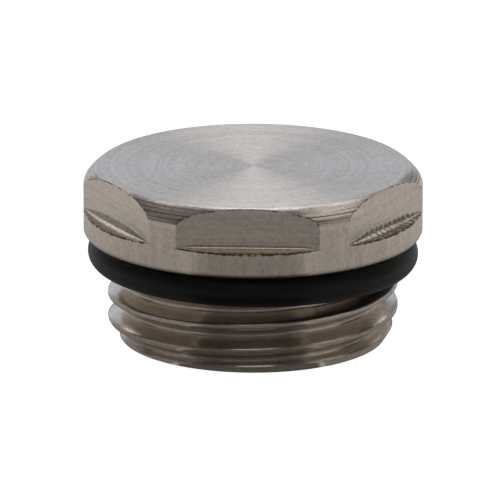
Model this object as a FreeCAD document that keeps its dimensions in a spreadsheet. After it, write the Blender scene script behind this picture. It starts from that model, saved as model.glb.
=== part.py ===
import FreeCAD, Part
import os
import Sketcher

# A half-inch radiator blanking plug stood on its thread end: a turned and plated brass body,
# with six flats milled in its round head, and a rubber sealing ring in the groove under the head.
# The origin is the middle of the end face and +Z runs up the axis. All lengths are millimetres.

doc = FreeCAD.newDocument("radiator_blanking_plug")

# Driving dimensions
SIZES = [
    ("thread_diameter", 20.72, "outside of the thread"),
    ("thread_pitch", 1.814, "fourteen turns to the inch"),
    ("thread_angle", 55, "angle between the two flanks, degrees"),
    ("thread_crest_width", 0.34, "flat left on top of each turn"),
    ("thread_root_width", 0.37, "flat at the bottom of the thread"),
    ("thread_length", 5.1, "end face to sealing groove"),
    ("first_crest_height", 1.815, "lowest whole crest above the end face, at the front"),
    ("lead_in_depth", 0.88, "radial depth of the chamfer at the thread end"),
    ("lead_in_height", 1.4, "height of that chamfer"),
    ("groove_relief", 0.05, "sealing groove deeper than the thread"),
    ("ring_section", 2.3, "thickness of the sealing ring"),
    ("ring_fit", 0.25, "ring clear of the bottom of its groove"),
    ("ring_seat_gap", 0.03, "ring clear of the underside of the head"),
    ("ring_room", 0.17, "room to spare between a level ring and the top of the thread"),
    ("ring_tilt", 1.3, "loose ring out of level, degrees"),
    ("ring_high_side", 25, "turn from the front to the ring's high side, to the left, degrees"),
    ("head_overhang", 0.3, "head wider than the ring, each side"),
    ("collar_height", 1.95, "round part of the head, underside to ledges"),
    ("collar_edge_chamfer", 0.25, "broken lower edge of the head"),
    ("flat_count", 6, "milled flats"),
    ("flat_depth", 1.1, "round of the head in to the flat"),
    ("flat_height", 2.95, "ledge to top face"),
    ("ledge_slope", 9, "fall of the ledge towards its outer edge, degrees"),
    ("ledge_fillet", 0.2, "cutter radius between flat and ledge"),
    ("top_chamfer_width", 1, "turned chamfer round the top face"),
    ("top_chamfer_height", 1.08, "height of that chamfer"),
    ("recess_wall", 2.25, "metal between the drilled recess and the groove"),
    ("recess_point_angle", 118, "drill point at the end of the recess, degrees"),
    ("recess_mouth_chamfer", 0.4, "broken edge of the recess"),
    ("crown_thickness", 2.5, "metal between the drill point and the top face"),
    ("cutter_margin", 1, "how far the cutting profiles reach past the metal"),
]
sheet = doc.addObject("Spreadsheet::Sheet", "Sizes")
for row, (alias, value, meaning) in enumerate(SIZES, start=1):
    sheet.set(f"A{row}", meaning)
    sheet.set(f"B{row}", str(value))
    sheet.setAlias(f"B{row}", alias)
doc.recompute()

# Radii and heights that several features share, from the thread outwards and the end face upwards
THREAD_GAP = "(Sizes.thread_pitch - Sizes.thread_crest_width)"
HALF_THREAD_ANGLE = "(Sizes.thread_angle / 2 * 1 deg)"
FLANK_RISE = f"(({THREAD_GAP} - Sizes.thread_root_width) / 2)"
THREAD_RADIUS = "Sizes.thread_diameter / 2"
ROOT_RADIUS = f"({THREAD_RADIUS} - {FLANK_RISE} / tan({HALF_THREAD_ANGLE}))"
GROOVE_RADIUS = f"({ROOT_RADIUS} - Sizes.groove_relief)"
RING_INSIDE = f"({GROOVE_RADIUS} + Sizes.ring_fit)"
HEAD_RADIUS = f"({RING_INSIDE} + Sizes.ring_section + Sizes.head_overhang)"
TOP_FACE_RADIUS = f"({HEAD_RADIUS} - Sizes.top_chamfer_width)"
FLAT = f"({HEAD_RADIUS} - Sizes.flat_depth)"
RECESS_RADIUS = f"({GROOVE_RADIUS} - Sizes.recess_wall)"
RING_MIDDLE = "(Sizes.thread_length + Sizes.ring_room + Sizes.ring_section / 2)"
UNDERSIDE = f"({RING_MIDDLE} + Sizes.ring_section / 2 + Sizes.ring_seat_gap)"
LEDGE = f"({UNDERSIDE} + Sizes.collar_height)"
TOP = f"({LEDGE} + Sizes.flat_height)"


def sketch_on(body, role, name):
    """An empty sketch on one of the body's own origin planes."""
    sketch = body.newObject("Sketcher::SketchObject", name)
    plane = next(p for p in body.Origin.OriginFeatures if p.Role == role)
    sketch.AttachmentSupport = [(plane, "")]
    sketch.MapMode = "FlatFace"
    return sketch


def point_at(sketch, corner):
    """Where a corner, a pair of expressions across and up, lies in the sketch now."""
    across, up = (float(sketch.evalExpression(e)) for e in corner)
    return FreeCAD.Vector(across, up, 0)


def tie_point(sketch, geometry, end, corner):
    """Ties one point of the sketch's geometry to a corner's two expressions."""
    now = point_at(sketch, corner)
    for kind, axis, value, expression in zip(("DistanceX", "DistanceY"), (-2, -1), now, corner):
        if expression == "0":
            sketch.addConstraint(Sketcher.Constraint("PointOnObject", geometry, end, axis))
            continue
        index = sketch.addConstraint(Sketcher.Constraint(kind, -1, 1, geometry, end, value))
        sketch.setExpression(f"Constraints[{index}]", expression)


def draw_outline(sketch, corners):
    """Closed outline of straight lines through the corners."""
    points = [point_at(sketch, corner) for corner in corners]
    count = len(points)
    for i in range(count):
        sketch.addGeometry(Part.LineSegment(points[i], points[(i + 1) % count]))
    for i, corner in enumerate(corners):
        sketch.addConstraint(Sketcher.Constraint("Coincident", i, 2, (i + 1) % count, 1))
        tie_point(sketch, i, 1, corner)


def must_cut(feature, base):
    """Recomputes, and stops unless the feature took metal away from its base."""
    doc.recompute()
    if not feature.Shape.Volume < base.Shape.Volume:
        raise RuntimeError(f"{feature.Name} cut nothing")


# Plug body: turned from one bar of brass
plug = doc.addObject("PartDesign::Body", "PlugBody")
plug.Label = "plug_body"

turned_profile = sketch_on(plug, "XZ_Plane", "TurnedProfile")
draw_outline(turned_profile, [
    ("0", "0"),
    (f"{THREAD_RADIUS} - Sizes.lead_in_depth", "0"),
    (THREAD_RADIUS, "Sizes.lead_in_height"),
    (THREAD_RADIUS, "Sizes.thread_length"),
    (GROOVE_RADIUS, "Sizes.thread_length"),
    (GROOVE_RADIUS, UNDERSIDE),
    (f"{HEAD_RADIUS} - Sizes.collar_edge_chamfer", UNDERSIDE),
    (HEAD_RADIUS, f"{UNDERSIDE} + Sizes.collar_edge_chamfer"),
    (HEAD_RADIUS, f"{TOP} - Sizes.top_chamfer_height"),
    (TOP_FACE_RADIUS, TOP),
    ("0", TOP),
])
turned_blank = plug.newObject("PartDesign::Revolution", "TurnedBlank")
turned_blank.Profile = turned_profile
turned_blank.ReferenceAxis = (turned_profile, ["V_Axis"])
turned_blank.Angle = 360
doc.recompute()

# Drilled recess in the thread end, with the cone that the drill's point leaves
DRILL_TIP = f"({TOP} - Sizes.crown_thickness)"
DRILL_CONE = f"({RECESS_RADIUS} / tan(Sizes.recess_point_angle / 2 * 1 deg))"
recess_profile = sketch_on(plug, "XZ_Plane", "RecessProfile")
draw_outline(recess_profile, [
    ("0", "0"),
    (f"{RECESS_RADIUS} + Sizes.recess_mouth_chamfer", "0"),
    (RECESS_RADIUS, "Sizes.recess_mouth_chamfer"),
    (RECESS_RADIUS, f"{DRILL_TIP} - {DRILL_CONE}"),
    ("0", DRILL_TIP),
])
recess = plug.newObject("PartDesign::Groove", "Recess")
recess.Profile = recess_profile
recess.ReferenceAxis = (recess_profile, ["V_Axis"])
recess.Angle = 360
must_cut(recess, turned_blank)

# Six milled flats. In side view the cutter has the flat, a small arc where the flat turns into
# the ledge, and the ledge itself, which falls towards the round of the head.
SLOPE = "(Sizes.ledge_slope * 1 deg)"
ARC_TANGENT = f"(Sizes.ledge_fillet / tan(45 deg + {SLOPE} / 2))"
CUTTER_REACH = f"({HEAD_RADIUS} + Sizes.cutter_margin)"
CUTTER_TOP = f"{TOP} + Sizes.cutter_margin"
arc_middle = (f"{FLAT} + Sizes.ledge_fillet", f"{LEDGE} + {ARC_TANGENT}")
arc_on_flat = (FLAT, f"{LEDGE} + {ARC_TANGENT}")
top_of_flat = (FLAT, CUTTER_TOP)
top_of_back = (CUTTER_REACH, CUTTER_TOP)
end_of_ledge = (CUTTER_REACH, f"{LEDGE} - ({CUTTER_REACH} - {FLAT}) * tan({SLOPE})")
arc_on_ledge = (f"{FLAT} + {ARC_TANGENT} * cos({SLOPE})", f"{LEDGE} - {ARC_TANGENT} * sin({SLOPE})")

flat_profile = sketch_on(plug, "YZ_Plane", "FlatProfile")
cutter_path = (arc_on_flat, top_of_flat, top_of_back, end_of_ledge, arc_on_ledge)
cutter_points = [point_at(flat_profile, corner) for corner in cutter_path]
flat_side, top_side, back_side, ledge_side = (
    flat_profile.addGeometry(Part.LineSegment(start, end))
    for start, end in zip(cutter_points, cutter_points[1:])
)
fillet_now = float(flat_profile.evalExpression("Sizes.ledge_fillet"))
circle = Part.Circle(point_at(flat_profile, arc_middle), FreeCAD.Vector(0, 0, 1), fillet_now)
arc_ends = [circle.parameter(cutter_points[i]) for i in (0, -1)]
corner_arc = flat_profile.addGeometry(Part.ArcOfCircle(circle, *arc_ends))
for side, next_side in ((flat_side, top_side), (top_side, back_side), (back_side, ledge_side)):
    flat_profile.addConstraint(Sketcher.Constraint("Coincident", side, 2, next_side, 1))
flat_profile.addConstraint(Sketcher.Constraint("Tangent", corner_arc, 1, flat_side, 1))
flat_profile.addConstraint(Sketcher.Constraint("Tangent", corner_arc, 2, ledge_side, 2))
radius = flat_profile.addConstraint(Sketcher.Constraint("Radius", corner_arc, fillet_now))
flat_profile.setExpression(f"Constraints[{radius}]", "Sizes.ledge_fillet")
tie_point(flat_profile, corner_arc, 3, arc_middle)
tie_point(flat_profile, top_side, 1, top_of_flat)
tie_point(flat_profile, back_side, 1, top_of_back)
tie_point(flat_profile, ledge_side, 1, end_of_ledge)

one_flat = plug.newObject("PartDesign::Pocket", "OneFlat")
one_flat.Profile = flat_profile
one_flat.Type = "Length"
one_flat.Midplane = True
one_flat.setExpression("Length", f"2 * {HEAD_RADIUS}")
must_cut(one_flat, recess)
flats = plug.newObject("PartDesign::PolarPattern", "Flats")
flats.Originals = [one_flat]
flats.Axis = (turned_profile, ["V_Axis"])
flats.Angle = 360
flats.setExpression("Occurrences", "Sizes.flat_count")
plug.Tip = flats
must_cut(flats, one_flat)

# Pipe thread: one right-hand helical groove, from below the end face up into the sealing groove.
# The first crest's height counts at the front, a quarter turn before the profile's plane, and the
# groove lies half a pitch under it and starts two turns further down. Past the crest the
# cutter's sides run straight out, so that its turns stay clear of each other.
START_TURNS = 0.25 - 0.5 - 2
START = f"(Sizes.first_crest_height + {START_TURNS} * Sizes.thread_pitch)"
END = f"((Sizes.thread_length + {UNDERSIDE}) / 2)"
CUTTER_OUTSIDE = f"({THREAD_RADIUS} + Sizes.cutter_margin)"
thread_profile = sketch_on(plug, "XZ_Plane", "ThreadProfile")
thread_profile.setExpression("AttachmentOffset.Base.y", f"{START} - {THREAD_GAP} / 2")
draw_outline(thread_profile, [
    (ROOT_RADIUS, FLANK_RISE),
    (THREAD_RADIUS, "0"),
    (CUTTER_OUTSIDE, "0"),
    (CUTTER_OUTSIDE, THREAD_GAP),
    (THREAD_RADIUS, THREAD_GAP),
    (ROOT_RADIUS, f"{THREAD_GAP} - {FLANK_RISE}"),
])
thread = plug.newObject("PartDesign::SubtractiveHelix", "Thread")
thread.Profile = thread_profile
thread.ReferenceAxis = (thread_profile, ["V_Axis"])
thread.Mode = "pitch-height-angle"
thread.setExpression("Pitch", "Sizes.thread_pitch")
thread.setExpression("Height", f"{END} - {START}")
plug.Tip = thread
must_cut(thread, flats)

# Sealing ring: a moulded round-section ring, loose in the groove. One side is up against the head
# and the ring tips down from there, over the place where the thread runs out.
RING_RADIUS = f"({RING_INSIDE} + Sizes.ring_section / 2)"
RING_TILT = "(Sizes.ring_tilt * 1 deg)"
HIGH_SIDE = "(Sizes.ring_high_side * 1 deg)"
RING_CENTRE = f"vector(0; 0; {RING_MIDDLE} - {RING_RADIUS} * sin({RING_TILT}))"
RING_TURN = f"rotation(vector(-cos({HIGH_SIDE}); sin({HIGH_SIDE}); 0); {RING_TILT})"
ring = doc.addObject("Part::Torus", "SealingRing")
ring.Label = "o_ring"
ring.setExpression("Radius1", RING_RADIUS)
ring.setExpression("Radius2", "Sizes.ring_section / 2")
ring.setExpression("Placement", f"placement({RING_CENTRE}; {RING_TURN})")
doc.recompute()

# Nothing is written unless every feature computed and each piece is one sound solid
for item in doc.Objects:
    if "Invalid" in item.State or "Error" in item.State:
        raise RuntimeError(f"{item.Name} did not compute: {item.State}")
pieces = [plug, ring]
for piece in pieces:
    if piece.Shape.isNull() or not piece.Shape.isValid() or len(piece.Shape.Solids) != 1:
        raise RuntimeError(f"{piece.Label} is not one valid solid")
os.makedirs("parts", exist_ok=True)
for piece in pieces:
    piece.Shape.exportStep(f"parts/{piece.Label}.step")
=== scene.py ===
import math

import bmesh
import bpy
import numpy as np
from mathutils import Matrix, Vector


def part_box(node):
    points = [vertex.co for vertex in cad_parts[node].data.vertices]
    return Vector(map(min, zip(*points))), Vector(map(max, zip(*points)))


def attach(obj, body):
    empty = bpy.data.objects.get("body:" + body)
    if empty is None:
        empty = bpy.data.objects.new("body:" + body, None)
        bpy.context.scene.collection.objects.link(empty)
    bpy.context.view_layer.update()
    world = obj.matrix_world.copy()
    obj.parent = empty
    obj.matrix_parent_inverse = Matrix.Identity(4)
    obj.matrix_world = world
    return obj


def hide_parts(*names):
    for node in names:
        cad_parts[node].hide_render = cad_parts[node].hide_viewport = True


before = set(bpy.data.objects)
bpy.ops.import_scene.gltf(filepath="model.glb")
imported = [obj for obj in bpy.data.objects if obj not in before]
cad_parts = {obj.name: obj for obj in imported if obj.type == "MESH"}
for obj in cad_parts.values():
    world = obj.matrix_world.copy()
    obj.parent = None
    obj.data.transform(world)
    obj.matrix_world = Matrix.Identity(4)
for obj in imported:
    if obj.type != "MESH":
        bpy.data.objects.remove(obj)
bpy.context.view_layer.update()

# Plug body: a half-inch radiator plug, turned from drawn brass bar on a lathe, which also cut its pipe
# thread and drilled out its end. Six flats are milled into the round head, and all of it is nickel plated.
# The mesh is rows of points round the axis, from the middle of the top face down to the recess's tip.
MM = 0.001  # lengths of the plug and of its ring are written in millimetres
body_low, body_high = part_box("plug_body")
TOP = body_high.z / MM
HEAD_RADIUS = min(body_high.x - body_low.x, body_high.y - body_low.y) / 2 / MM
FLAT_COUNT = 6
FLAT_DEPTH = 1.1
FLAT = HEAD_RADIUS - FLAT_DEPTH
SMALL_ROUND = 0.05

# Columns round the axis: one sixth, from the middle of a land to the middle of the next, with close columns
# at the two edges of its flat, repeated for the six flats. The first flat is the one at the back.
# Each column has a random share, for the edges that the tools left ragged.
FLAT_COLUMNS = 71
LAND_COLUMNS = 6
EDGE_COLUMNS = (-0.005, -0.0025, 0.0025, 0.005)
RAGGED_SEED = 12
half_flat = math.acos(FLAT / HEAD_RADIUS)
half_sixth = math.pi / FLAT_COUNT
sixth = np.unique(np.concatenate([
    np.linspace(-half_sixth, -half_flat, LAND_COLUMNS),
    np.linspace(-half_flat, half_flat, FLAT_COLUMNS),
    np.linspace(half_flat, half_sixth, LAND_COLUMNS),
    [edge + step for edge in (-half_flat, half_flat) for step in EDGE_COLUMNS],
]))[:-1]
flat_turns = [math.pi / 2 + 2 * half_sixth * number for number in range(FLAT_COUNT)]
angle = np.concatenate([turn + sixth for turn in flat_turns] + [[flat_turns[0] - half_sixth + 2 * math.pi]])
from_flat = np.append(np.tile(sixth, FLAT_COUNT), -half_sixth)
flat_number = np.append(np.repeat(np.arange(FLAT_COUNT), len(sixth)), 0)
on_flat = np.abs(from_flat) < half_flat
ragged = np.random.default_rng(RAGGED_SEED).random(len(angle))
ragged[-1] = ragged[0]


def soft_min(a, b, width):
    """The smaller of two lengths, rounded over where they cross."""
    near = np.maximum(width - np.abs(a - b), 0) / width
    return np.minimum(a, b) - near * near * width / 4


ROUNDING_ROWS = 5
rows = []
zones = []
burr_darkening_rows = []


def row(zone, r, z, burr_darkening=0.0):
    """One row of points round the plug, the zone of the strip above it, and how much brown darkening is
    painted on it.
    """
    rows.append((r + 0 * angle, z + 0 * angle))
    zones.append(zone)
    burr_darkening_rows.append(burr_darkening + 0 * angle)


def rounding(zone, r, z, radius, start, end, burr_darkening=0.0):
    """Rows along a rounded edge or a hollow about the centre r, z, from one angle to another."""
    for share in np.linspace(0, 1, ROUNDING_ROWS):
        turn = start + (end - start) * share
        row(zone, r + radius * np.cos(turn), z + radius * np.sin(turn), burr_darkening)


# Top face and turned chamfer: a rounded rim, a crowned slope with the marks of the tool's feed, and a
# rounded edge down to the side of the head. Each column follows this profile until its flat cuts it off.
# The milling cutter tore that edge in places, and there the burrs' shadow is painted on in brown.
CHAMFER_WIDTH = 1.1
CHAMFER_HEIGHT = 1.08
CHAMFER_CROWN = 0.14
CHAMFER_FEED = 0.2
CHAMFER_FEED_DEPTH = 0.022
RIM_ROUND = 0.15
LAND_ROUND = 0.25
FLAT_EDGE_ROUND = 0.03
FACE_ROWS = (0, 0.2, 0.5, 0.8, 0.97)
PROFILE_END = 1.4 * CHAMFER_HEIGHT
PROFILE_POINTS = 260
PROFILE_ROWS = 84
TORN_FROM = 0.55
TORN_EDGE_SHADOW = 2
side = soft_min(HEAD_RADIUS + 0 * angle, FLAT / np.cos(from_flat), FLAT_EDGE_ROUND)
fall = np.linspace(-RIM_ROUND, PROFILE_END, PROFILE_POINTS)
down = fall / CHAMFER_HEIGHT
crown = 4 * CHAMFER_CROWN * np.minimum(down, 1) * (1 - np.minimum(down, 1))
feed = CHAMFER_FEED_DEPTH * np.abs(np.sin(math.pi * fall / CHAMFER_FEED)) * ((down > 0) & (down < 1))
chamfer_r = HEAD_RADIUS - CHAMFER_WIDTH + down * CHAMFER_WIDTH + crown - feed
profile_r = soft_min(chamfer_r, HEAD_RADIUS + 0 * fall, LAND_ROUND)
profile_z = TOP + soft_min(-fall, 0 * fall, RIM_ROUND)
run = np.append(0, np.cumsum(np.hypot(np.diff(profile_r), np.diff(profile_z))))
cut_run = np.where(on_flat, np.interp(side, profile_r, run), run[-1])
cut_z = np.interp(cut_run, run, profile_z)
for share in FACE_ROWS:
    row("face", np.minimum(profile_r[0], side) * share, TOP)
for step in np.linspace(0, run[-1], PROFILE_ROWS):
    here = np.minimum(step, cut_run)
    zone = "face" if step < 2 * RIM_ROUND else "chamfer"
    row(zone, np.interp(here, run, profile_r), np.interp(here, run, profile_z))
# Painted shadow: brown dots along the torn top edge of each flat, standing for the shade of its burrs
torn_edge_shadow = TORN_EDGE_SHADOW * ragged * (ragged > TORN_FROM) * on_flat
row("chamfer", side, cut_z - FLAT_EDGE_ROUND, torn_edge_shadow)
row("flat", side, cut_z - 2 * FLAT_EDGE_ROUND, torn_edge_shadow)

# Flats and lands, and the ledge at the foot of each flat. The cutter left a hollow in its corner, chatter
# marks, and a ragged outer edge, and the ledge is painted darker brown in patches towards that edge. Values
# for the six flats start at the back and go round by the left. Chatter and burrs fade out where the ledge
# is narrower than their full width.
LEDGE_DEPTH = 2.95
LEDGE = TOP - LEDGE_DEPTH
LEDGE_FALLS = (9, 9, 9, 6, 7, 9)
LEDGE_HOLLOWS = (0.45, 0.45, 0.7, 0.3, 0.55, 0.45)
HOLLOW_SHARE = 0.7
LEDGE_EDGE_ROUND = 0.06
LEDGE_EDGE_SHARE = 0.3
CHATTER_PERIOD = 0.65
CHATTER_SCATTER = 3
CHATTER_DEPTHS = (0.01, 0.03, 0.005, 0.005, 0.05, 0.01)
CHATTER_IN_HOLLOW = 3
CHATTER_FULL_WIDTH = 0.5
BURR_HEIGHT = 0.03
BURR_FULL_WIDTH = 0.3
LEDGE_DARKENING = 0.9
FLAT_ROWS = np.linspace(0, 0.95, 8)
LEDGE_ROWS = (0.25, 0.5, 0.75)
ledge_width = HEAD_RADIUS - side
ledge_fall = np.tan(np.radians(np.array(LEDGE_FALLS)[flat_number]))
ledge_z = LEDGE - (side * np.cos(from_flat) - FLAT) * ledge_fall
slope = np.arctan(np.cos(from_flat) * ledge_fall)
along_flat = HEAD_RADIUS * np.sin(from_flat)
ripple = np.sin(2 * math.pi * along_flat / CHATTER_PERIOD + CHATTER_SCATTER * ragged)
chatter = np.array(CHATTER_DEPTHS)[flat_number] * np.minimum(ledge_width / CHATTER_FULL_WIDTH, 1) * ripple
hollow = np.minimum(np.array(LEDGE_HOLLOWS)[flat_number], HOLLOW_SHARE * ledge_width)
hollow = hollow + CHATTER_IN_HOLLOW * chatter
hollow_z = ledge_z + hollow / np.tan(math.pi / 4 + slope / 2)
flat_top = cut_z - 4 * FLAT_EDGE_ROUND
for share in FLAT_ROWS:
    row("flat", side, flat_top + (hollow_z - flat_top) * share)
rounding("flat", side + hollow, hollow_z, hollow, math.pi, 1.5 * math.pi - slope)
ledge_round = np.minimum(LEDGE_EDGE_ROUND, LEDGE_EDGE_SHARE * ledge_width)
ledge_edge_r = HEAD_RADIUS - ledge_round
ledge_edge_z = ledge_z - (ledge_edge_r - side) * np.tan(slope) - ledge_round / np.cos(slope)
for share in LEDGE_ROWS:
    ledge_r = side + hollow + (ledge_edge_r - side - hollow) * share
    marked_z = ledge_z - (ledge_r - side) * np.tan(slope) + chatter * (1 - share)
    row("ledge", ledge_r, marked_z, LEDGE_DARKENING * share * on_flat)
burr_z = ledge_edge_z + BURR_HEIGHT * (ragged - 0.5) * np.minimum(ledge_width / BURR_FULL_WIDTH, 1)
rounding("ledge", ledge_edge_r, burr_z, ledge_round, math.pi / 2 - slope, 0, 1.0 * on_flat)

# Collar under the flats, and its chamfered lower edge on the sealing ring
ring_low, ring_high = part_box("o_ring")
RING_SEAT_GAP = 0.03
UNDERSIDE = ring_high.z / MM + RING_SEAT_GAP
COLLAR_EDGE = 0.25
COLLAR_ROWS = (0.1, 0.5, 0.9)
collar_low = UNDERSIDE + COLLAR_EDGE
for share in COLLAR_ROWS:
    row("collar", HEAD_RADIUS, ledge_edge_z + (collar_low - ledge_edge_z) * share)
row("collar", HEAD_RADIUS, collar_low + SMALL_ROUND)
row("collar", HEAD_RADIUS - SMALL_ROUND, collar_low - SMALL_ROUND)
row("collar", HEAD_RADIUS - COLLAR_EDGE + SMALL_ROUND, UNDERSIDE + SMALL_ROUND)
row("collar", HEAD_RADIUS - COLLAR_EDGE - SMALL_ROUND, UNDERSIDE)

# Sealing groove and pipe thread: the thread's rows climb one pitch in a turn, held between the shoulder at
# the groove and the end face. Points nearer than the weld become one point.
RING_SECTION = 2.3
RING_ROOM = 0.17
THREAD_TOP = ring_high.z / MM - RING_SECTION - RING_ROOM
THREAD_RADIUS = 10.36
THREAD_ROOT = 9.3
THREAD_PITCH = 1.814
THREAD_ANGLE = 55
FIRST_CREST = 1.815
CREST_WIDTH = 0.34
CREST_ROUND = 0.13
ROOT_ROUND = 0.305
LEAD_IN_DEPTH = 0.88
LEAD_IN_HEIGHT = 1.4
GROOVE_BELOW_ROOT = 0.05
GROOVE_RADIUS = THREAD_ROOT - GROOVE_BELOW_ROOT
SHOULDER_ROW = 0.6
CREST_ROWS, FLANK_ROWS, ROOT_ROWS = 5, 4, 6
WELD = 0.00001
flank_angle = math.radians(THREAD_ANGLE / 2)
root_reach = ROOT_ROUND * math.cos(flank_angle)
crest_z = FIRST_CREST + THREAD_PITCH * (angle + math.pi / 2) / (2 * math.pi)


def thread_radius(z):
    """Radius of the threaded end at height z in each column, with the lead-in chamfer turned on it."""
    off_crest = np.abs((z - crest_z + THREAD_PITCH / 2) % THREAD_PITCH - THREAD_PITCH / 2)
    off_root = THREAD_PITCH / 2 - off_crest
    flank = THREAD_RADIUS - (off_crest - CREST_WIDTH / 2) / math.tan(flank_angle)
    ridge = soft_min(THREAD_RADIUS + 0 * z, flank, CREST_ROUND)
    root = THREAD_ROOT + ROOT_ROUND - np.sqrt(np.maximum(ROOT_ROUND ** 2 - off_root ** 2, 0))
    lead_in = THREAD_RADIUS - LEAD_IN_DEPTH * (1 - z / LEAD_IN_HEIGHT)
    return soft_min(np.where(off_root < root_reach + WELD, root, ridge), lead_in, SMALL_ROUND)


row("groove", GROOVE_RADIUS + 2 * SMALL_ROUND, UNDERSIDE)
row("groove", GROOVE_RADIUS, UNDERSIDE - 2 * SMALL_ROUND)
row("groove", GROOVE_RADIUS, THREAD_TOP + 2 * SMALL_ROUND)
row("groove", GROOVE_RADIUS, THREAD_TOP)
thread_top_r = thread_radius(THREAD_TOP + 0 * angle)
row("groove", SHOULDER_ROW * thread_top_r + (1 - SHOULDER_ROW) * GROOVE_RADIUS, THREAD_TOP)
root_edge = THREAD_PITCH / 2 - root_reach
crest_edge = CREST_WIDTH / 2 + SMALL_ROUND
half_turn = np.unique(np.concatenate([
    np.linspace(0, crest_edge, CREST_ROWS),
    np.linspace(crest_edge, root_edge, FLANK_ROWS),
    np.linspace(root_edge, THREAD_PITCH / 2, ROOT_ROWS),
]))
one_turn = np.concatenate([-half_turn[:0:-1], half_turn[:-1]])
first_turn = math.floor(-FIRST_CREST / THREAD_PITCH) - 2
last_turn = math.ceil(THREAD_TOP / THREAD_PITCH) + 1
climb = THREAD_PITCH * (angle - angle[0]) / (2 * math.pi)
for number in range(last_turn, first_turn, -1):
    for offset in one_turn[::-1]:
        z = np.clip(crest_z[0] + number * THREAD_PITCH + offset + climb, 0, THREAD_TOP)
        row("thread", thread_radius(z), z)

# End face, and the recess that was drilled out to save brass
RECESS_RADIUS = 7.0
RECESS_MOUTH = 0.4
DRILL_POINT = 118
TOP_WALL = 2.5
DRILL_TIP = TOP - TOP_WALL
DRILL_SHOULDER = DRILL_TIP - RECESS_RADIUS / math.tan(math.radians(DRILL_POINT / 2))
END_ROW = 0.85
mouth_r = RECESS_RADIUS + RECESS_MOUTH
cone = (DRILL_TIP - DRILL_SHOULDER) / RECESS_RADIUS
row("end", END_ROW * thread_radius(0 * angle) + (1 - END_ROW) * mouth_r, 0)
row("end", mouth_r + SMALL_ROUND, 0)
row("recess", mouth_r - SMALL_ROUND, SMALL_ROUND)
row("recess", RECESS_RADIUS, RECESS_MOUTH + SMALL_ROUND)
row("recess", RECESS_RADIUS, RECESS_MOUTH + 3 * SMALL_ROUND)
row("recess", RECESS_RADIUS, DRILL_SHOULDER - 3 * SMALL_ROUND)
row("recess", RECESS_RADIUS, DRILL_SHOULDER - SMALL_ROUND)
row("recess", RECESS_RADIUS - SMALL_ROUND, DRILL_SHOULDER + cone * SMALL_ROUND)
row("recess", RECESS_RADIUS - 3 * SMALL_ROUND, DRILL_SHOULDER + cone * 3 * SMALL_ROUND)
row("recess", RECESS_RADIUS / 2, (DRILL_SHOULDER + DRILL_TIP) / 2)
row("recess", 0, DRILL_TIP)

# The rows become one closed mesh, and each strip between two rows gets the finish of its zone
FACE, CHAMFER, BAR, MILLED, THREAD, DRILLED = range(6)
ZONE_FINISH = {
    "face": FACE, "chamfer": CHAMFER, "flat": MILLED, "ledge": MILLED, "collar": BAR,
    "groove": THREAD, "thread": THREAD, "end": CHAMFER, "recess": DRILLED,
}
LARGE_FACE_WEIGHT = 80
surface = np.array([[r * np.cos(angle), r * np.sin(angle), z] for r, z in rows]).transpose(0, 2, 1) * MM
row_count, column_count = surface.shape[:2]
quad_start = np.arange(row_count - 1)[:, None] * column_count + np.arange(column_count - 1)
quad_steps = (0, column_count, column_count + 1, 1)
quads = np.stack([quad_start + step for step in quad_steps], -1).reshape(-1, 4)
strip_finish = np.array([ZONE_FINISH[zone] for zone in zones[1:]])[:, None]
is_land = ~(on_flat[:-1] | on_flat[1:])
finish = np.where((strip_finish == MILLED) & is_land, BAR, strip_finish)
plug_mesh = bpy.data.meshes.new("plug_body_dressed")
plug_mesh.from_pydata(surface.reshape(-1, 3).tolist(), [], quads.tolist())
plug_mesh.polygons.foreach_set("material_index", finish.ravel().astype(np.int32))
burr_darkening_layer = plug_mesh.attributes.new("burr_darkening", "FLOAT", "POINT")
burr_darkening_layer.data.foreach_set("value", np.array(burr_darkening_rows).ravel().astype(np.float32))
welded = bmesh.new()
welded.from_mesh(plug_mesh)
bmesh.ops.remove_doubles(welded, verts=welded.verts, dist=WELD * MM)
bmesh.ops.recalc_face_normals(welded, faces=welded.faces)
for face in welded.faces:
    face.smooth = True
welded.to_mesh(plug_mesh)
welded.free()
plug = bpy.data.objects.new("plug_body_dressed", plug_mesh)
bpy.context.scene.collection.objects.link(plug)
even = plug.modifiers.new("even_normals", "WEIGHTED_NORMAL")
even.mode = "FACE_AREA"
even.weight = LARGE_FACE_WEIGHT


def linear(code):
    """An sRGB hex colour as linear red, green, blue and alpha."""
    parts = [int(code[i:i + 2], 16) / 255 for i in (1, 3, 5)]
    return [c / 12.92 if c <= 0.04045 else ((c + 0.055) / 1.055) ** 2.4 for c in parts] + [1]


def add(tree, kind, inputs, **settings):
    """Adds a node, sets it up, and fills its inputs with values or links from other nodes' outputs."""
    node = tree.nodes.new(kind)
    for name, value in settings.items():
        setattr(node, name, value)
    for socket, value in inputs.items():
        if isinstance(value, bpy.types.NodeSocket):
            tree.links.new(value, node.inputs[socket])
        else:
            node.inputs[socket].default_value = value
    return node


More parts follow.
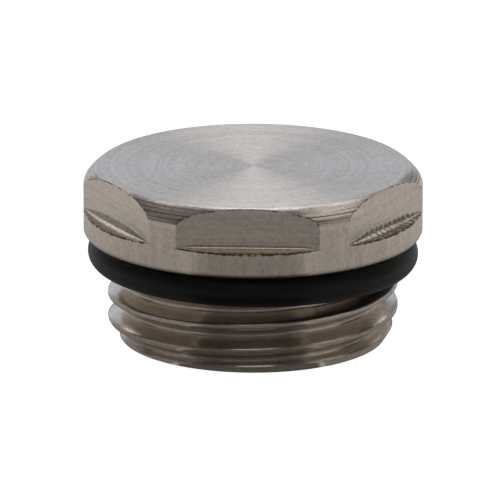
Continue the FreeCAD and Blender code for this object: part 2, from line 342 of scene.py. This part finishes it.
# Nickel is a slightly warm grey metal. Plated thinly over machined brass it stays satin and keeps every
# mark of the tools, so the faces differ in the way their marks run. It is dulled in patches, with brown
# stain in pits. Brown is painted along the flats' torn top edges as the burrs' shadow, and the ledges are
# painted darker brown towards their outer edges. The turned face has a few nicks, painted as bright glints.
# The noise that draws the marks is five spacings wide at its coarsest and goes finer from there.
NICKEL = "#D6C9BC"
DULLED_NICKEL = "#BFB2A5"
STAIN_AND_SHADE = "#66523F"
NICK_GLINT = "#F4F1EC"
PATCH_SIZE = 0.3
DULLED_FROM, DULLED_TO = 0.75, 1.25
DARKENED_FROM, DARKENED_TO = 0.3, 0.5
PIT_SPACING, PIT_RADIUS = 0.45, 0.055
NICK_GLINT_SPACING, NICK_GLINT_RADIUS = 1.3, 0.11
CHOSEN_SPOTS = 0.55
SPOT_CORE = 0.5
COARSEST = 5
ROUND_STRETCH = (0.02, 0.02, 0.02)
STRETCH = {"level": (0.03, 0.03, 1), "upright": (1, 1, 0.1)}
ROUGHNESS_SPREAD = 0.1
QUARTER_TURN = 0.25


def nickel_plate(
    name, marks, spacing, depth, roughness, anisotropy=0.0,
    spot=STAIN_AND_SHADE, spot_spacing=PIT_SPACING, spot_radius=PIT_RADIUS,
):
    """Nickel over brass, with tool marks that run round the axis, level or upright."""
    material = bpy.data.materials.new(name)
    material.use_nodes = True
    tree = material.node_tree
    tree.nodes.clear()
    place = add(tree, "ShaderNodeTexCoord", {}).outputs["Object"]
    if marks == "round":
        level = add(tree, "ShaderNodeVectorMath", {0: place, 1: (1, 1, 0)}, operation="MULTIPLY")
        radius = add(tree, "ShaderNodeVectorMath", {0: level.outputs["Vector"]}, operation="LENGTH")
        grain = add(tree, "ShaderNodeVectorMath", {0: place, 1: ROUND_STRETCH}, operation="MULTIPLY")
        grain = add(tree, "ShaderNodeVectorMath", {0: grain.outputs["Vector"], 1: radius.outputs["Value"]})
    else:
        grain = add(tree, "ShaderNodeVectorMath", {0: place, 1: STRETCH[marks]}, operation="MULTIPLY")
    lines = add(tree, "ShaderNodeTexNoise", {
        "Vector": grain.outputs["Vector"], "Scale": 1 / (COARSEST * spacing * MM),
        "Detail": 5.0, "Roughness": 0.8,
    }).outputs["Fac"]
    patch = add(tree, "ShaderNodeTexNoise", {
        "Vector": place, "Scale": 1 / (PATCH_SIZE * MM), "Detail": 2.0,
    }).outputs["Fac"]
    worn = add(tree, "ShaderNodeMath", {0: patch, 1: lines}, operation="ADD").outputs["Value"]
    dulled = add(tree, "ShaderNodeMapRange", {
        "Value": worn, "From Min": DULLED_FROM, "From Max": DULLED_TO,
    }).outputs["Result"]
    plate = add(tree, "ShaderNodeMix", {
        "Factor": dulled, "A": linear(NICKEL), "B": linear(DULLED_NICKEL),
    }, data_type="RGBA").outputs["Result"]
    # Spots: pits stained brown, and on the turned face nicks painted near white, as bright glints
    spots = add(tree, "ShaderNodeTexVoronoi", {"Vector": place, "Scale": 1 / (spot_spacing * MM)})
    chosen = add(tree, "ShaderNodeMath", {
        0: spots.outputs["Color"], 1: CHOSEN_SPOTS,
    }, operation="GREATER_THAN").outputs["Value"]
    reach = spot_radius / spot_spacing
    spotted = add(tree, "ShaderNodeMapRange", {
        "Value": spots.outputs["Distance"], "From Min": reach, "From Max": SPOT_CORE * reach,
        "To Max": chosen,
    }).outputs["Result"]
    plate = add(tree, "ShaderNodeMix", {
        "Factor": spotted, "A": plate, "B": linear(spot),
    }, data_type="RGBA").outputs["Result"]
    # Painted shadow: brown along the flats' torn top edges for the burrs' shade; the ledges darker brown
    # outwards
    burr_darkening = add(tree, "ShaderNodeAttribute", {}, attribute_name="burr_darkening").outputs["Fac"]
    patchy_darkening = add(tree, "ShaderNodeMath", {0: burr_darkening, 1: patch}, operation="MULTIPLY").outputs["Value"]
    darkened = add(tree, "ShaderNodeMapRange", {
        "Value": patchy_darkening, "From Min": DARKENED_FROM, "From Max": DARKENED_TO,
    }).outputs["Result"]
    plate = add(tree, "ShaderNodeMix", {
        "Factor": darkened, "A": plate, "B": linear(STAIN_AND_SHADE),
    }, data_type="RGBA").outputs["Result"]
    bump = add(tree, "ShaderNodeBump", {"Height": lines, "Strength": 1.0, "Distance": depth * MM})
    satin = add(tree, "ShaderNodeMapRange", {
        "Value": lines, "To Min": roughness - ROUGHNESS_SPREAD, "To Max": roughness + ROUGHNESS_SPREAD,
    }).outputs["Result"]
    tangent = add(tree, "ShaderNodeTangent", {}, direction_type="RADIAL", axis="Z")
    shader = add(tree, "ShaderNodeBsdfPrincipled", {
        "Base Color": plate, "Metallic": 1.0, "Roughness": satin, "Normal": bump.outputs["Normal"],
        "Anisotropic": anisotropy, "Anisotropic Rotation": QUARTER_TURN,
        "Tangent": tangent.outputs["Tangent"],
    })
    add(tree, "ShaderNodeOutputMaterial", {"Surface": shader.outputs["BSDF"]})
    return material


# The turned face's nicks are painted near white, as bright glints
turned_face = nickel_plate(
    "nickel_turned_face", "round", spacing=0.12, depth=0.006, roughness=0.4, anisotropy=0.7,
    spot=NICK_GLINT, spot_spacing=NICK_GLINT_SPACING, spot_radius=NICK_GLINT_RADIUS,
)
turned_chamfer = nickel_plate("nickel_turned_chamfer", "round", spacing=0.06, depth=0.004, roughness=0.24)
drawn_bar = nickel_plate("nickel_drawn_bar", "upright", spacing=0.1, depth=0.003, roughness=0.28)
milled_flat = nickel_plate("nickel_milled_flat", "level", spacing=0.08, depth=0.006, roughness=0.28)
cut_thread = nickel_plate(
    "nickel_cut_thread", "level", spacing=0.08, depth=0.002, roughness=0.24, anisotropy=0.8,
)
drilled = nickel_plate("nickel_drilled", "level", spacing=0.15, depth=0.006, roughness=0.35)
for plated in (turned_face, turned_chamfer, drawn_bar, milled_flat, cut_thread, drilled):
    plug_mesh.materials.append(plated)
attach(plug, "root")
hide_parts("plug_body")

# Sealing ring: black nitrile rubber, moulded round in section and stretched over the thread into its
# groove. It is loose there: its high side is up against the head, a little to the left of the front, and
# the ring tips down from it.
HIGH_SIDE_TO_LEFT = 25
STEPS_AROUND = 360
STEPS_ROUND_SECTION = 48
high_side = math.radians(-90 - HIGH_SIDE_TO_LEFT)
section_radius = RING_SECTION / 2
ring_radius = (ring_high.x - ring_low.x) / 2 / MM - section_radius
ring_middle = (ring_high.z + ring_low.z) / 2 / MM
ring_tip = (ring_high.z - ring_low.z) / 2 / MM - section_radius
ring_verts = []
ring_faces = []
for i in range(STEPS_AROUND):
    turn = 2 * math.pi * i / STEPS_AROUND
    height = ring_middle + ring_tip * math.cos(turn - high_side)
    this = i * STEPS_ROUND_SECTION
    following = (i + 1) % STEPS_AROUND * STEPS_ROUND_SECTION
    for j in range(STEPS_ROUND_SECTION):
        lean = 2 * math.pi * j / STEPS_ROUND_SECTION
        out = ring_radius + section_radius * math.cos(lean)
        up = height + section_radius * math.sin(lean)
        ring_verts.append((out * math.cos(turn) * MM, out * math.sin(turn) * MM, up * MM))
        k = (j + 1) % STEPS_ROUND_SECTION
        ring_faces.append((this + j, following + j, following + k, this + k))
ring_mesh = bpy.data.meshes.new("o_ring_dressed")
ring_mesh.from_pydata(ring_verts, [], ring_faces)
ring_mesh.polygons.foreach_set("use_smooth", [True] * len(ring_faces))
ring = bpy.data.objects.new("o_ring_dressed", ring_mesh)
bpy.context.scene.collection.objects.link(ring)

# Nitrile rubber from a polished mould is a deep black with a dull sheen. The fine grain of its skin is
# drawn coarser than the real one, which is too fine to show.
RUBBER_BLACK = "#0B0B0B"
RUBBER_ROUGHNESS = (0.36, 0.56)
RUBBER_SPECULAR = 0.3
RUBBER_GRAIN = 0.12
RUBBER_GRAIN_DEPTH = 0.004
rubber = bpy.data.materials.new("nitrile_rubber_moulded")
rubber.use_nodes = True
rubber_tree = rubber.node_tree
rubber_tree.nodes.clear()
on_ring = add(rubber_tree, "ShaderNodeTexCoord", {}).outputs["Object"]
skin = add(rubber_tree, "ShaderNodeTexNoise", {
    "Vector": on_ring, "Scale": 1 / (RUBBER_GRAIN * MM), "Detail": 3.0,
}).outputs["Fac"]
dull = add(rubber_tree, "ShaderNodeMapRange", {
    "Value": skin, "To Min": RUBBER_ROUGHNESS[0], "To Max": RUBBER_ROUGHNESS[1],
}).outputs["Result"]
skin_bump = add(rubber_tree, "ShaderNodeBump", {
    "Height": skin, "Strength": 0.5, "Distance": RUBBER_GRAIN_DEPTH * MM,
})
rubber_shader = add(rubber_tree, "ShaderNodeBsdfPrincipled", {
    "Base Color": linear(RUBBER_BLACK), "Roughness": dull, "Specular IOR Level": RUBBER_SPECULAR,
    "Normal": skin_bump.outputs["Normal"],
})
add(rubber_tree, "ShaderNodeOutputMaterial", {"Surface": rubber_shader.outputs["BSDF"]})
ring_mesh.materials.append(rubber)
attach(ring, "root")
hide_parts("o_ring")

# Floor: a sheet of matt white paper, a hair below the plug's end face and clear from below. The camera sees
# it white with the plug's shadow. Metal and glass see it with painted light: a glow at the sides and
# behind, a painted shade in front where it glows less, a painted bright line on each side of that shade,
# and a faint painted glow at the foot. Angles are from the front.
FLOOR_REACH = 3
FLOOR_DROP = 0.02 * MM
PAPER = "#A29F9B"
FLOOR_GLOW = 0.97
SHADE_FROM, SHADE_TO = math.radians(32), math.radians(36)
SIDE_GLOW = 0.16
SIDE_NEAR, SIDE_FAR = 12 * MM, 45 * MM
SIDE_NEAR_SHARE = 0.7
FRONT_GLOW = 0.165
FRONT_NEAR, FRONT_FAR = 16 * MM, 45 * MM
OPEN_FROM, OPEN_TO = math.radians(60), math.radians(110)
OPEN_GLOW = 0.29
BRIGHT_LINE_TURN = math.radians(33.5)
BRIGHT_LINE_HALF = math.radians(2.5)
BRIGHT_LINE_GLOW = 0.38
FOOT_INNER, FOOT_OUTER = 9.5 * MM, 12.5 * MM
FOOT_GLOW = 0.08
floor_mesh = bpy.data.meshes.new("floor")
floor_corners = [(x * FLOOR_REACH, y * FLOOR_REACH, 0) for x, y in ((-1, -1), (1, -1), (1, 1), (-1, 1))]
floor_mesh.from_pydata(floor_corners, [], [(0, 1, 2, 3)])
floor = bpy.data.objects.new("floor", floor_mesh)
floor.location.z = -FLOOR_DROP
bpy.context.scene.collection.objects.link(floor)
paper = bpy.data.materials.new("white_paper_painted_glow")
paper.use_nodes = True
paper_tree = paper.node_tree
paper_tree.nodes.clear()
paper_ray = add(paper_tree, "ShaderNodeLightPath", {})
on_paper = add(paper_tree, "ShaderNodeTexCoord", {}).outputs["Object"]
paper_xyz = add(paper_tree, "ShaderNodeSeparateXYZ", {"Vector": on_paper})
ahead = add(paper_tree, "ShaderNodeMath", {0: paper_xyz.outputs["Y"], 1: -1.0}, operation="MULTIPLY")
beside = add(paper_tree, "ShaderNodeMath", {0: paper_xyz.outputs["X"]}, operation="ABSOLUTE")
turn_aside = add(paper_tree, "ShaderNodeMath", {
    0: beside.outputs["Value"], 1: ahead.outputs["Value"],
}, operation="ARCTAN2").outputs["Value"]
from_axis = add(paper_tree, "ShaderNodeVectorMath", {0: on_paper}, operation="LENGTH").outputs["Value"]
# Painted light: the glow that metal and glass see on the paper, dimmed in a painted shade in front
side_glow = add(paper_tree, "ShaderNodeMapRange", {
    "Value": turn_aside, "From Min": SHADE_FROM, "From Max": SHADE_TO, "To Max": SIDE_GLOW,
}).outputs["Result"]
side_share = add(paper_tree, "ShaderNodeMapRange", {
    "Value": from_axis, "From Min": SIDE_NEAR, "From Max": SIDE_FAR, "To Min": SIDE_NEAR_SHARE,
}).outputs["Result"]
far_glow = add(paper_tree, "ShaderNodeMapRange", {
    "Value": turn_aside, "From Min": OPEN_FROM, "From Max": OPEN_TO,
    "To Min": FRONT_GLOW, "To Max": OPEN_GLOW,
}).outputs["Result"]
front_glow = add(paper_tree, "ShaderNodeMapRange", {
    "Value": from_axis, "From Min": FRONT_NEAR, "From Max": FRONT_FAR, "To Max": far_glow,
}).outputs["Result"]
foot_glow = add(paper_tree, "ShaderNodeMapRange", {
    "Value": from_axis, "From Min": FOOT_OUTER, "From Max": FOOT_INNER, "To Max": FOOT_GLOW,
}).outputs["Result"]
past_bright_line = add(paper_tree, "ShaderNodeMath", {
    0: turn_aside, 1: BRIGHT_LINE_TURN,
}, operation="SUBTRACT").outputs["Value"]
from_bright_line = add(paper_tree, "ShaderNodeMath", {0: past_bright_line}, operation="ABSOLUTE").outputs["Value"]
bright_line_glow = add(paper_tree, "ShaderNodeMapRange", {
    "Value": from_bright_line, "From Min": BRIGHT_LINE_HALF, "From Max": 0.0, "To Max": BRIGHT_LINE_GLOW,
}).outputs["Result"]
paper_glow = add(paper_tree, "ShaderNodeMath", {
    0: side_glow, 1: side_share, 2: front_glow,
}, operation="MULTIPLY_ADD").outputs["Value"]
for more_glow in (foot_glow, bright_line_glow):
    paper_glow = add(paper_tree, "ShaderNodeMath", {
        0: paper_glow, 1: more_glow,
    }, operation="ADD").outputs["Value"]
in_metal = add(paper_tree, "ShaderNodeMath", {
    0: paper_ray.outputs["Is Glossy Ray"], 1: paper_ray.outputs["Is Transmission Ray"],
}, operation="MAXIMUM").outputs["Value"]
metal_glow = add(paper_tree, "ShaderNodeMath", {
    0: in_metal, 1: paper_glow,
}, operation="MULTIPLY").outputs["Value"]
glow = add(paper_tree, "ShaderNodeMath", {
    0: paper_ray.outputs["Is Camera Ray"], 1: FLOOR_GLOW, 2: metal_glow,
}, operation="MULTIPLY_ADD").outputs["Value"]
matt = add(paper_tree, "ShaderNodeBsdfDiffuse", {"Color": linear(PAPER)})
white = add(paper_tree, "ShaderNodeEmission", {"Color": (1, 1, 1, 1), "Strength": glow})
lit_paper = add(paper_tree, "ShaderNodeAddShader", {0: matt.outputs["BSDF"], 1: white.outputs["Emission"]})
from_below = add(paper_tree, "ShaderNodeNewGeometry", {}).outputs["Backfacing"]
clear = add(paper_tree, "ShaderNodeBsdfTransparent", {})
paper_shader = add(paper_tree, "ShaderNodeMixShader", {
    0: from_below, 1: lit_paper.outputs["Shader"], 2: clear.outputs["BSDF"],
})
add(paper_tree, "ShaderNodeOutputMaterial", {"Surface": paper_shader.outputs["Shader"]})
floor_mesh.materials.append(paper)

# Room: dim round the plug, a little brighter where the metal mirrors it, and white to the camera
ROOM_LEVEL = 0.04
world = bpy.data.worlds.new("studio")
bpy.context.scene.world = world
world.use_nodes = True
world_tree = world.node_tree
world_tree.nodes.clear()
room_ray = add(world_tree, "ShaderNodeLightPath", {})
room = add(world_tree, "ShaderNodeBackground", {"Color": (1, 1, 1, 1), "Strength": ROOM_LEVEL})
backdrop = add(world_tree, "ShaderNodeBackground", {"Color": (1, 1, 1, 1), "Strength": 1.0})
room_in_metal = add(world_tree, "ShaderNodeMath", {
    0: room_ray.outputs["Is Glossy Ray"], 1: room_ray.outputs["Is Transmission Ray"],
}, operation="MAXIMUM").outputs["Value"]
backdrop_share = add(world_tree, "ShaderNodeMath", {
    0: room_in_metal, 1: ROOM_LEVEL, 2: room_ray.outputs["Is Camera Ray"],
}, operation="MULTIPLY_ADD").outputs["Value"]
room_shader = add(world_tree, "ShaderNodeMixShader", {
    0: backdrop_share, 1: room.outputs["Background"], 2: backdrop.outputs["Background"],
})
add(world_tree, "ShaderNodeOutputWorld", {"Surface": room_shader.outputs["Shader"]})

# Soft boxes: the key hangs close above and behind the plug, with a wider and weaker one in the same place.
# The large back box is what the top face mirrors to the camera. The others fill the chamfers, the ledges
# and the sides. Sizes and distances are in metres.
KEY_DISTANCE = 0.3
BOX_DISTANCE = 0.8
WHITE = "#FFFFFF"
DAYLIGHT = "#EAF2FF"
SKY = "#DCEBFF"


def soft_box(name, azimuth, elevation, distance, size, radiance, colour=WHITE):
    """A soft box at an azimuth, counted from the front to the right, and an elevation, both in degrees."""
    light = bpy.data.lights.new(name, "AREA")
    light.shape = "RECTANGLE"
    light.size, light.size_y = size
    light.energy = radiance * math.pi * size[0] * size[1]
    light.color = linear(colour)[:3]
    holder = bpy.data.objects.new(name, light)
    bpy.context.scene.collection.objects.link(holder)
    turn = math.radians(azimuth)
    rise = math.radians(elevation)
    outward = Vector((math.sin(turn) * math.cos(rise), -math.cos(turn) * math.cos(rise), math.sin(rise)))
    holder.location = outward * distance
    holder.rotation_euler = outward.to_track_quat("Z", "Y").to_euler()


soft_box("key", 180, 62, KEY_DISTANCE, (0.12, 0.12), 4.2, DAYLIGHT)
soft_box("key_wide", 180, 62, KEY_DISTANCE, (0.28, 0.075), 1.7, DAYLIGHT)
soft_box("back", -177, 22, BOX_DISTANCE, (0.62, 0.6), 0.76, SKY)
soft_box("upper_left", -95, 58, BOX_DISTANCE, (0.5, 0.35), 0.14)
soft_box("upper_right", 95, 58, BOX_DISTANCE, (0.5, 0.35), 0.72)
soft_box("left", -135, 14, BOX_DISTANCE, (0.6, 0.4), 0.22)
soft_box("low_left", -150, 5, BOX_DISTANCE, (0.26, 0.14), 0.3)
soft_box("low_right", 150, 5, BOX_DISTANCE, (0.26, 0.14), 0.3)
soft_box("back_left", -144, 34, BOX_DISTANCE, (0.24, 0.16), 1.3)
soft_box("back_right", 144, 34, BOX_DISTANCE, (0.24, 0.16), 1.3)
soft_box("right", 135, 14, BOX_DISTANCE, (0.6, 0.4), 0.22)
soft_box("front_right", 65, 16, BOX_DISTANCE, (0.5, 0.45), 0.36)
soft_box("front_left", -75, 15, BOX_DISTANCE, (0.6, 0.4), 0.16)
soft_box("front_low", 0, 14, BOX_DISTANCE, (0.7, 0.3), 0.09)
soft_box("front", 0, 57, BOX_DISTANCE, (0.35, 0.4), 0.8)

# Camera: the photograph's view, through a long lens from a little above
CAMERA_DISTANCE = 0.55
CAMERA_RISE = math.radians(16.725)
CAMERA_TURN = math.radians(1.9)
CAMERA_ROLL = math.radians(0.118)
CAMERA_ORBIT_HEIGHT = 6 * MM
LENS = 554.4
SENSOR_WIDTH = 36
NEAREST_SEEN = 0.01
AIM_LEFT = 0.215 * MM
AIM_HEIGHT = 6.189 * MM
camera = bpy.data.objects.new("camera", bpy.data.cameras.new("camera"))
bpy.context.scene.collection.objects.link(camera)
camera.data.lens = LENS
camera.data.sensor_width = SENSOR_WIDTH
camera.data.clip_start = NEAREST_SEEN
level_distance = CAMERA_DISTANCE * math.cos(CAMERA_RISE)
camera.location = (
    level_distance * math.sin(CAMERA_TURN),
    -level_distance * math.cos(CAMERA_TURN),
    CAMERA_DISTANCE * math.sin(CAMERA_RISE) + CAMERA_ORBIT_HEIGHT,
)
aim = Vector((-AIM_LEFT * math.cos(CAMERA_TURN), -AIM_LEFT * math.sin(CAMERA_TURN), AIM_HEIGHT))
camera.rotation_euler = (aim - camera.location).to_track_quat("-Z", "Y").to_euler()
camera.rotation_euler.rotate_axis("Z", CAMERA_ROLL)
bpy.context.scene.camera = camera
bpy.context.scene.view_settings.view_transform = "Standard"
